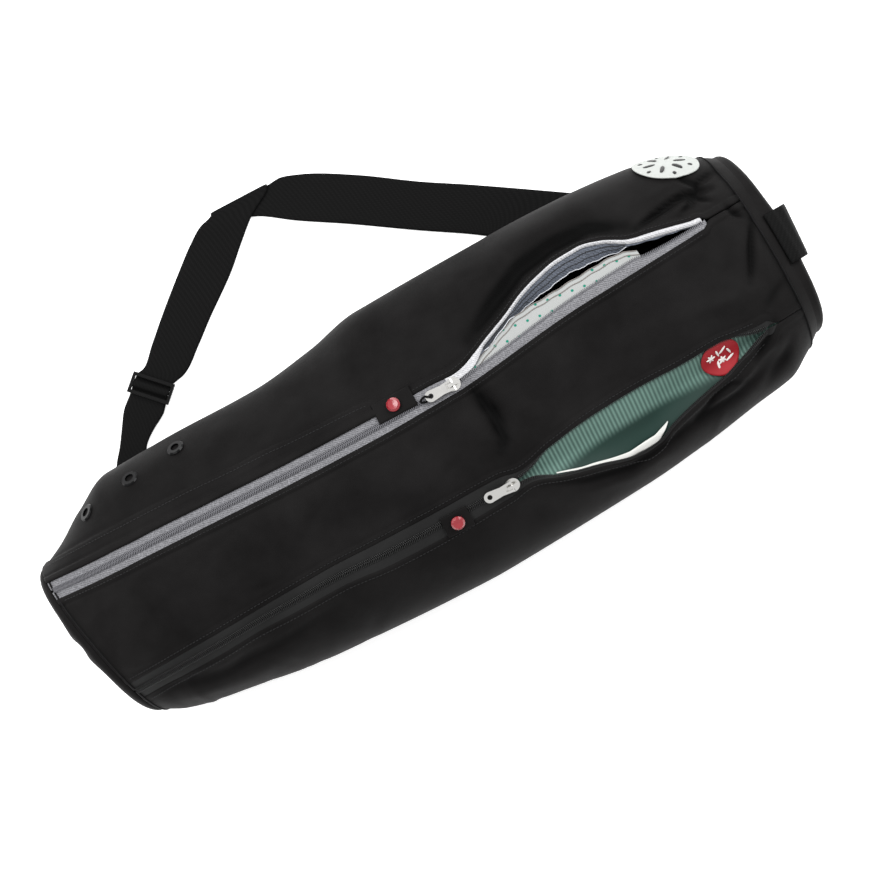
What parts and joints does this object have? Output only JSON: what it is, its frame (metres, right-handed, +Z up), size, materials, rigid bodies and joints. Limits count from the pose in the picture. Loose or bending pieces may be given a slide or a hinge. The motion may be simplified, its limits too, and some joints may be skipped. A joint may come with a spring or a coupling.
{
  "type": "yoga mat bag",
  "caption": "Long soft zipped bag for a rolled mat, lying on its back with both zips part open, with a shoulder strap, buckle, grab handle, eyelets, snaps and a round patch.",
  "frame": {"origin": "on the floor, under the middle of the whole part's box", "axes": "+X along the bag to the end with the grab handle, +Y to the side where the shoulder strap lies, +Z up"},
  "size_m": [0.732, 0.4214, 0.1557],
  "materials": {
    "nylon": "close woven black nylon with a soft sheen",
    "webbing": "flat black webbing",
    "silver_tape": "silver reflective zip tape",
    "black_tape": "black zip tape",
    "nickel": "bright nickel plate on a cast zip head",
    "gloss_black": "glossy black acetal and lacquered metal",
    "red_enamel": "glossy red snap cap",
    "white_cloth": "white woven patch cloth",
    "dotted_cloth": "white lining cloth with small teal dots",
    "green_cloth": "ribbed grey-green lining cloth",
    "red_cloth": "red woven label"
  },
  "bodies": {
    "root": {"back_panel": "nylon", "front_panel": "nylon", "base_cap": "nylon", "top_cap": "nylon", "main_tape_upper": "silver_tape", "main_tape_lower": "silver_tape", "main_zip_teeth": "silver_tape", "side_tape_upper": "black_tape", "side_tape_lower": "black_tape", "side_zip_teeth": "black_tape", "main_slider": "nickel", "side_slider": "nickel", "main_snap_tab": "nylon", "main_snap": "red_enamel", "side_snap_tab": "nylon", "side_snap": "red_enamel", "eyelet_1": "gloss_black", "eyelet_2": "gloss_black", "eyelet_3": "gloss_black", "round_badge": "white_cloth", "mouth_flap": "dotted_cloth", "side_pocket": "green_cloth", "pocket_edging": "white_cloth", "pocket_label": "red_cloth", "shoulder_strap": "webbing", "strap_return": "webbing", "strap_buckle": "gloss_black", "grab_handle": "webbing"},
    "main_zip_pull": {"main_pull": "nickel", "main_pull_loop": "webbing"},
    "side_zip_pull": {"side_pull": "nickel"}
  },
  "joints": [
    {"name": "main_pull_turn", "type": "hinge", "parent": "root", "child": "main_zip_pull", "pos_m": [0.0365, -0.04629, 0.14971], "axis": [0.019, 0.9973, -0.0703], "range_deg": [0, 140]},
    {"name": "side_pull_turn", "type": "hinge", "parent": "root", "child": "side_zip_pull", "pos_m": [0.03599, -0.14491, 0.14508], "axis": [0.0563, 0.956, 0.2879], "range_deg": [0, 140]}
  ]
}
